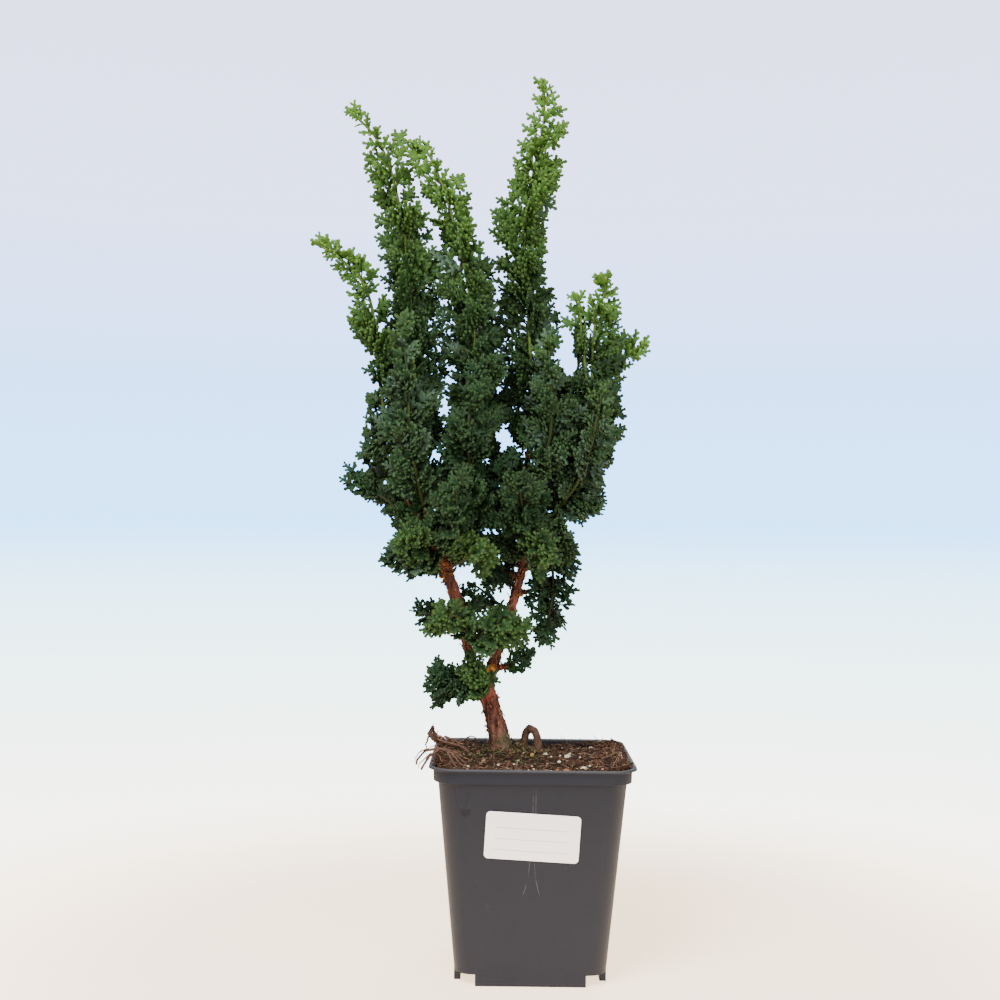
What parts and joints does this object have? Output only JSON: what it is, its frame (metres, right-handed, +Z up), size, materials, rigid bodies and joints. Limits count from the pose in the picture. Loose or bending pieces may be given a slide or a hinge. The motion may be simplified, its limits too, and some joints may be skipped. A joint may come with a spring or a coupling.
{
  "type": "hinoki cypress bonsai in a square nursery pot",
  "caption": "Small upright hinoki cypress with a forked trunk and feathery green shoots, growing in a tapered square plastic nursery pot with a blank write-on label.",
  "frame": {"origin": "centre of the flat sole under the pot, on the ground", "axes": "+Z up along the tree, +Y to the back, +X to the right of the view that shows the label on the front wall (-Y)"},
  "size_m": [0.1562, 0.1024, 0.4042],
  "materials": {
    "pot_plastic": "semi-matte moulded anthracite plastic, dusty",
    "label_paper": "white coated sticker",
    "potting_mix": "crumbly dark peat and bark mix",
    "bark": "rough reddish-brown peeling bark",
    "root_bark": "dry brown root bark",
    "foliage": "matte green scale leaves, lighter at the tips"
  },
  "bodies": {
    "root": {"label": "label_paper", "pot": "pot_plastic", "root_loop": "root_bark", "root_upright": "root_bark", "roots_over_rim": "root_bark", "soil": "potting_mix", "spray_back_hanging": "foliage", "spray_back_left": "foliage", "spray_back_low_left": "foliage", "spray_back_low_middle": "foliage", "spray_back_low_right": "foliage", "spray_back_middle": "foliage", "spray_back_right": "foliage", "spray_front_far_right": "foliage", "spray_front_inner": "foliage", "spray_front_left": "foliage", "spray_front_low_left": "foliage", "spray_front_low_middle": "foliage", "spray_front_low_right": "foliage", "spray_front_mid_left": "foliage", "spray_front_mid_right": "foliage", "spray_front_middle": "foliage", "spray_front_right": "foliage", "spray_leader_left": "foliage", "spray_leader_low_right": "foliage", "spray_leader_middle": "foliage", "spray_leader_right": "foliage", "spray_left_back": "foliage", "spray_left_back_low": "foliage", "spray_left_low": "foliage", "spray_left_lowest": "foliage", "spray_left_middle": "foliage", "spray_pad_front_left": "foliage", "spray_pad_front_right": "foliage", "spray_pad_left": "foliage", "spray_pad_low_left": "foliage", "spray_right_back": "foliage", "spray_right_drop": "foliage", "spray_right_drop_inner": "foliage", "spray_right_low": "foliage", "spray_shoot_far_left": "foliage", "spray_shoot_far_right": "foliage", "spray_tuft_fork": "foliage", "spray_tuft_inner": "foliage", "spray_twig_right": "foliage", "tree": "bark"}
  },
  "joints": []
}
